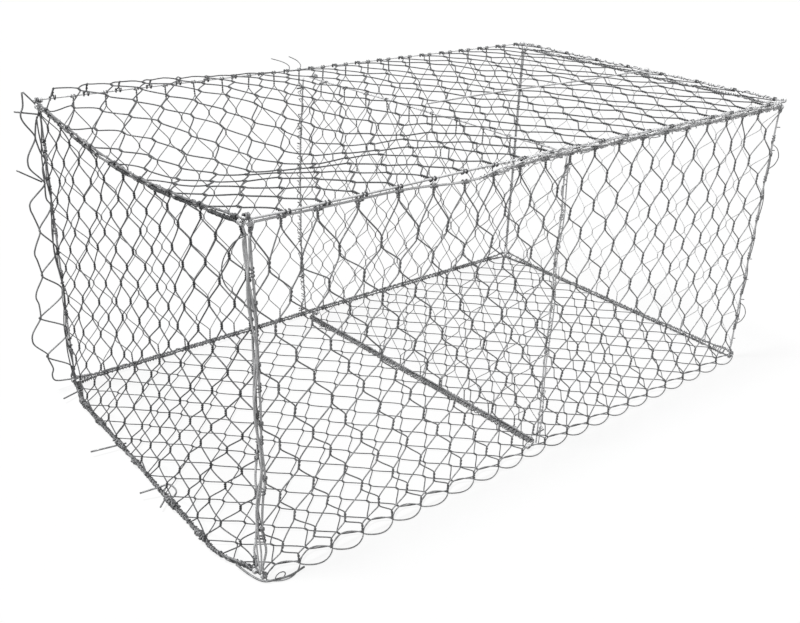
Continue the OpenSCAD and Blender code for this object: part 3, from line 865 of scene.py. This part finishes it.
def corner_lace(corner, out):
    """Lacing of an upright corner: tight turns at the knots and slack runs between them."""
    wires = lacing_piece(corner + "_lacing")
    f, g = (rods[node].at for node in corner_wires(corner))
    points = []
    for i, knot in enumerate(knots):
        for t in np.arange(31) / 30:
            z = knot + (t - 0.5) * 0.018
            points.append(loop_point(f(z), g(z), Z, math.pi / 2 + 2 * math.pi * 2.5 * t))
        if i + 1 < len(knots):
            a = points[-1]
            z = knots[i + 1] - 0.009
            b = loop_point(f(z), g(z), Z, math.pi / 2)
            for t in np.linspace(0.12, 0.88, 7):
                slack = 0.005 * math.sin(math.pi * t) * (1 + 0.6 * math.sin(3 * i))
                points.append(a + (b - a) * t + np.array(out) * slack)
    wires.add(points, LACE_D)
    return wires


def edge_lace(node, first, second, axis, low, high, seed):
    """Lacing of a level edge: two wires wound along its two edge wires."""
    wires = lacing_piece(node)
    for k, pitch in enumerate((0.013, 0.024)):
        spiral(wires, rods[first].at, rods[second].at, axis, low + 0.01, high - 0.01, pitch, seed + k, wild=0.8)
    return wires


def snaking(name, corner, bow, d, shading):
    """Two thick strands that snake up a corner."""
    strands = Wires(name, "basket", "lacing_wire")
    for out, swing, wave, phase, top in ((0.0110, 0.0055, 0.235, 0.0, 0.012),
                                         (0.0085, 0.0060, 0.310, 2.2, 0.020)):
        strands.add([corner + Z * z + TO_VIEW * out
                     + ACROSS_VIEW * (bow(z) + swing * math.sin(2 * math.pi * z / wave + phase) - 0.001)
                     for z in np.linspace(0.02, top_z - top, 90)], d, THICK_SIDES)
    strands.build(shading)


def corner_foot(corner):
    """The point on the ground between the two wires of a corner."""
    first, second = corner_wires(corner)
    return (mid(first) + mid(second)) / 2 * LEVEL


# The near corner: besides the turns, two thick strands that snake from knot to knot, a slack loop
# on the left under the lid, and at the foot a strand that goes round the corner into the fold
lacing = corner_lace("front_left", (-0.7, -0.7, 0))
corner = corner_foot("front_left")
# The near corner's strands take the light copy of the zinc: a painted highlight
snaking("front_left_strands", corner, near_bow, NEAR_STRAND_D, highlit_zinc)
lacing.add(bowed([corner + Z * z + ACROSS_VIEW * e + TO_VIEW * 0.012 for z, e in (
    (0.770, 0.004), (0.752, -0.022), (0.715, -0.042), (0.675, -0.040), (0.643, -0.012), (0.622, 0.010))]), LACE_D)
fold_end = np.array([long_left, front_y, 0.0])
lacing.add(bowed([fold_end + np.array(p) for p in (
    (-0.030, 0.060, 0.012), (-0.020, 0.018, 0.007), (-0.006, -0.012, 0.005), (0.020, -0.024, 0.006),
    (0.048, -0.030, 0.006), (0.085, -0.024, 0.005))]), EDGE_D, THICK_SIDES)
lacing.add([fold_end + np.array([0.026 + 0.012 * math.cos(a), -0.024, 0.011 + 0.009 * math.sin(a)])
            for a in np.linspace(0.4, 7.4, 28)], LACE_D)
lacing.build(shaded_zinc)

# The right front corner: wire ends stand out of the lacing, and two slack loops
lacing = corner_lace("front_right", (0.7, -0.7, 0))
corner = corner_foot("front_right")
for k in range(11):
    z = 0.065 + 0.066 * k
    lacing.add([corner + Z * z + ACROSS_VIEW * e for e in (0.002, 0.005, 0.009 + 0.003 * math.sin(7 * k))], LACE_D)
for z in (0.15, 0.64):
    lacing.add(bowed([corner + Z * (z + dz) + ACROSS_VIEW * e for dz, e in (
        (-0.035, 0.003), (-0.022, 0.017), (0.0, 0.024), (0.022, 0.017), (0.035, 0.003))]), LACE_D)
lacing.build(shaded_zinc)

# The left back corner: two wire ends stick out to the left
lacing = corner_lace("back_left", (-0.7, 0.5, 0))
corner = mid("back_left_wire") * LEVEL
for start, end in (((0.0, 0.0, 0.763), (-0.066, 0.0, 0.778)), ((-0.022, 0.0, 0.594), (-0.080, 0.0, 0.633))):
    lacing.add([corner + np.array(start) * (1 - t) + np.array(end) * t for t in np.linspace(0, 1, 4)], TIE_D)
lacing.build(shaded_zinc)
# The back corner's strands take a darker copy of the zinc: painted shade
snaking("back_left_strands", corner_foot("back_left"), steady(0.0), BACK_STRAND_D, shaded_zinc)

corner_lace("back_right", (0.7, 0.5, 0)).build(shaded_zinc)

# Laced bottom edges; the left one has tight windings, and loose wire ends stick out of it
for side in ("left", "right"):
    first, second = f"base_{side}_wire", f"{side}_end_bottom_wire"
    wires = edge_lace(f"{side}_bottom_lacing", first, second, Y, end_front, end_back, 401)
    if side == "left":
        f, g = rods[first].at, rods[second].at
        for k, (y, long) in enumerate((
                (0.36, 0.05), (0.25, 0.03), (0.13, 0.04), (0.03, 0.02), (-0.17, 0.05), (-0.31, 0.03))):
            spiral(wires, f, g, Y, y - long / 2, y + long / 2, 0.006, 405 + k, TIE_D, 0.4, EDGE_D / 2 + 0.0015)
        for y, way in ((0.44, (-0.058, -0.025, 0.004)), (0.12, (-0.076, 0.010, 0.002)),
                       (-0.14, (-0.032, -0.031, 0.0))):
            start = f(y) + Z * 0.004
            wires.add([start + np.array(way) * t for t in np.linspace(-0.15, 1, 4)], TIE_D)
        hook = f(-0.115)
        wires.add(bowed([hook + np.array(p) for p in (
            (-0.050, 0.012, 0.010), (-0.012, 0.0, 0.016), (0.014, -0.010, 0.020), (0.020, -0.032, 0.012),
            (0.004, -0.042, 0.006), (-0.010, -0.030, 0.012), (0.0, -0.016, 0.018))]), TIE_D)
    wires.build(shaded_zinc)

edge_lace("back_bottom_lacing", "base_back_wire", "back_bottom_wire", X, long_left, long_right, 420).build(shaded_zinc)

# Lacing of the diaphragm to the front and the back; at the front a strand runs beside it. The front lacing takes the
# light copy of the zinc, a painted highlight, and the back one a darker copy, painted shade
for name, panel_y in (("front", front_y), ("back", back_y)):
    wires = lacing_piece(f"diaphragm_{name}_lacing")
    upright = rods[f"diaphragm_{name}_wire"].at
    gap = panel_y - mid(f"diaphragm_{name}_wire")[1]

    def beside(z):
        return upright(z) + Y * gap * 0.5

    spiral(wires, upright, beside, Z, diaphragm_low + 0.03, top_z - 0.02, 0.045, 430, wild=0.8, grip=EDGE_D * 0.4)
    if name == "front":
        wires.add([beside(z) + X * (0.002 + 0.002 * math.sin(21 * z))
                   for z in np.linspace(diaphragm_low, top_z, 60)], STRAND_D)
    wires.build(highlit_zinc if name == "front" else shaded_zinc)

# Wire wound along single edge wires: the top edges of the ends, the front's top edge and the lid's
# The windings on the ends and the lid's sides take darker copies of the zinc, painted shade, darkest at the left;
# those along the front take the light copy, a painted highlight
for side in ("left", "right"):
    for node, body, seed in ((f"{side}_end_top_wire", "basket", 440), (f"lid_{side}_wire", "lid", 445)):
        wires = Wires(node + "_wound", body, "lacing_wire")
        edge, low, high = rods[node].at, rods[node].low + 0.02, rods[node].high - 0.02
        if side == "right":
            for pitch in (0.026, 0.017) if body == "basket" else (0.034,):
                coil(wires, edge, Y, low, high, pitch, seed, wild=1.2)
                seed += 1
            wires.build(shaded_zinc)
        else:
            # Short tight windings on the end's wire, closest together towards the near corner
            spots = ((-0.42, 0.09), (-0.27, 0.07), (-0.16, 0.08), (0.01, 0.06), (0.17, 0.03), (0.24, 0.04))
            for y, long in spots if body == "basket" else ():
                coil(wires, edge, Y, y - long / 2, y + long / 2, 0.0042, seed, WINDING_D, 0.3)
                seed += 1
            coil(wires, edge, Y, low, high, 0.080, seed, WINDING_D, 0.6)
            wires.build(dull_zinc)
front_top = rods["front_top_wire"].at
for node, body, seed in (("front_top_wire", "basket", 460), ("lid_front_wire", "lid", 465)):
    wires = Wires(node + "_wound", body, "lacing_wire")
    coil(wires, rods[node].at, X, -0.30, long_right - 0.01, 0.027, seed, wild=1.6, grip=THICK_D / 2)
    if node == "front_top_wire":
        spiral(wires, lambda x: front_top(x) - Z * 0.003, lambda x: front_top(x) + Z * 0.004,
               X, -0.28, long_right - 0.01, 0.055, 470, wild=1.6, grip=THICK_D / 2)
    wires.build(highlit_zinc)

# Two strands lie along the front's top edge, under the lid's wire; their brightness is a painted highlight
wires = Wires("front_top_strands", "basket", "lacing_wire")
for start, up, phase in ((-0.30, 0.0060, 0.0), (-0.20, 0.0100, 1.7)):
    wires.add([front_top(x) + Z * (up + 0.0030 * math.sin(46 * x + phase))
               - Y * (0.0046 + 0.001 * math.sin(31 * x + phase))
               for x in np.linspace(start, long_right - 0.01, 200)], STRAND_D)
wires.build(highlit_zinc)

# The foot of the diaphragm: a bundle of wires tied on to its bottom wire
wires = Wires("diaphragm_foot_bundle", "basket", "lacing_wire")
f = rods["diaphragm_bottom_wire"].at
for k, (dx, dz) in enumerate(((0.0055, 0.001), (-0.0055, 0.0005), (0.001, 0.0062))):
    wires.add([f(y) + X * (dx + 0.0012 * math.sin(17 * y + k)) + Z * (dz + 0.001 * math.sin(23 * y + 2 * k))
               for y in np.linspace(diaphragm_front + 0.01, diaphragm_back - 0.01, 60)], EDGE_D * 0.9)
for k, pitch in enumerate((0.012, 0.021)):
    spiral(wires, lambda s: f(s) - X * 0.0045, lambda s: f(s) + X * 0.0045, Y, diaphragm_front + 0.015,
           diaphragm_back - 0.015, pitch, 450 + k, wild=0.8, grip=EDGE_D * 0.75)
wires.build(shaded_zinc)

# Two loose wire ends stand up at the back of the lid, near the diaphragm
wires = Wires("lid_back_ties", "lid", "lacing_wire")
for x, points in ((-0.115, ((0, 0, 0), (0.004, 0.010, 0.012), (-0.010, 0.022, 0.022), (-0.040, 0.034, 0.032))),
                  (-0.080, ((0, 0, 0), (0.010, 0.010, 0.010), (0.004, 0.022, 0.022), (-0.016, 0.032, 0.033)))):
    wires.add(bowed([np.array([x, back_y, lid_z]) + np.array(p) for p in points]), LACE_D)
wires.build(shaded_zinc)


# Stage, light and camera

def seen(tree):
    """1 for rays from the camera, from gloss and through glass, 0 for the light that falls on things."""
    rays, either, any_ = (add_node(tree, kind) for kind in ("LightPath", "Math", "Math"))
    either.operation = any_.operation = "MAXIMUM"
    tree.links.new(rays.outputs["Is Camera Ray"], either.inputs[0])
    tree.links.new(rays.outputs["Is Glossy Ray"], either.inputs[1])
    tree.links.new(either.outputs[0], any_.inputs[0])
    tree.links.new(rays.outputs["Is Transmission Ray"], any_.inputs[1])
    return any_.outputs[0]


def two_looks(tree, output, for_light, for_eye):
    """Gives a tree one shader for the light that falls on things and another for what is seen."""
    mix = add_node(tree, "MixShader")
    tree.links.new(seen(tree), mix.inputs["Fac"])
    tree.links.new(for_light.outputs[0], mix.inputs[1])
    tree.links.new(for_eye.outputs[0], mix.inputs[2])
    tree.links.new(mix.outputs[0], add_node(tree, output).inputs["Surface"])


def stage_material():
    """White ground that still takes the shadow; the light that it throws back is that of a grey floor."""
    mat = bpy.data.materials.new("white_ground")
    mat.use_nodes = True
    tree = mat.node_tree
    tree.nodes.clear()
    grey = add_node(tree, "BsdfDiffuse", {"Color": (0.08, 0.08, 0.08, 1)})
    white = add_node(tree, "BsdfDiffuse", {"Color": (0.92, 0.92, 0.92, 1)})
    glow = add_node(tree, "Emission", {"Color": (1, 1, 1, 1), "Strength": 1.0})
    shown = add_node(tree, "MixShader", {"Fac": 0.90})
    tree.links.new(white.outputs[0], shown.inputs[1])
    tree.links.new(glow.outputs[0], shown.inputs[2])
    two_looks(tree, "OutputMaterial", grey, shown)
    return mat


GROUND_HALF, GROUND_Z = 30, -0.0005
ground_mesh = bpy.data.meshes.new("ground")
ground_mesh.from_pydata([(x * GROUND_HALF, y * GROUND_HALF, GROUND_Z)
                         for x, y in ((-1, -1), (1, -1), (1, 1), (-1, 1))], [], [(0, 1, 2, 3)])
ground = add_object("ground", ground_mesh)
ground_mesh.materials.append(stage_material())

world = bpy.data.worlds.new("white_world")
bpy.context.scene.world = world
world.use_nodes = True
tree = world.node_tree
tree.nodes.clear()
two_looks(tree, "OutputWorld",
          add_node(tree, "Background", {"Color": (0.95, 0.97, 1.0, 1), "Strength": 0.12}),
          add_node(tree, "Background", {"Color": (1, 1, 1, 1), "Strength": 1.0}))


def facing(back, place, roll=0.0):
    """Matrix of a camera or lamp that looks away from a direction, turned about it by roll."""
    right = np.cross(Z, back)
    right /= np.linalg.norm(right)
    up = np.cross(back, right)
    c, s = math.cos(roll), math.sin(roll)
    right, up = right * c + up * s, up * c - right * s
    return Matrix(np.vstack([np.column_stack([right, up, back, place]), (0, 0, 0, 1)]))


# The main light stands above, a little to the left and behind; a weak one comes from the front
for name, energy, angle, to_light in (("key_light", 3.0, 0.15, (-0.28, 0.12, 0.95)),
                                      ("front_light", 0.60, 0.3, (-0.50, -0.65, 0.57))):
    sun = bpy.data.lights.new(name, "SUN")
    sun.energy, sun.angle = energy, angle
    lamp = add_object(name, sun)
    lamp.matrix_world = facing(np.array(to_light) / np.linalg.norm(to_light), (0, 0, 3))

CAMERA_AZIMUTH, CAMERA_ELEVATION, CAMERA_ROLL = map(math.radians, (-39.73, 25.48, 2.15))
CAMERA_TARGET = np.array([-0.33, -0.30, 0.40])
CAMERA_DISTANCE = 2.23
LENS_MM, SENSOR_MM = 42.56, 36.0
back = np.array([math.sin(CAMERA_AZIMUTH) * math.cos(CAMERA_ELEVATION),
                 -math.cos(CAMERA_AZIMUTH) * math.cos(CAMERA_ELEVATION), math.sin(CAMERA_ELEVATION)])
lens = bpy.data.cameras.new("camera")
lens.lens, lens.sensor_width = LENS_MM, SENSOR_MM
camera = add_object("camera", lens)
camera.matrix_world = facing(back, CAMERA_TARGET + back * CAMERA_DISTANCE, CAMERA_ROLL)
bpy.context.scene.camera = camera
bpy.context.scene.view_settings.view_transform = "Standard"
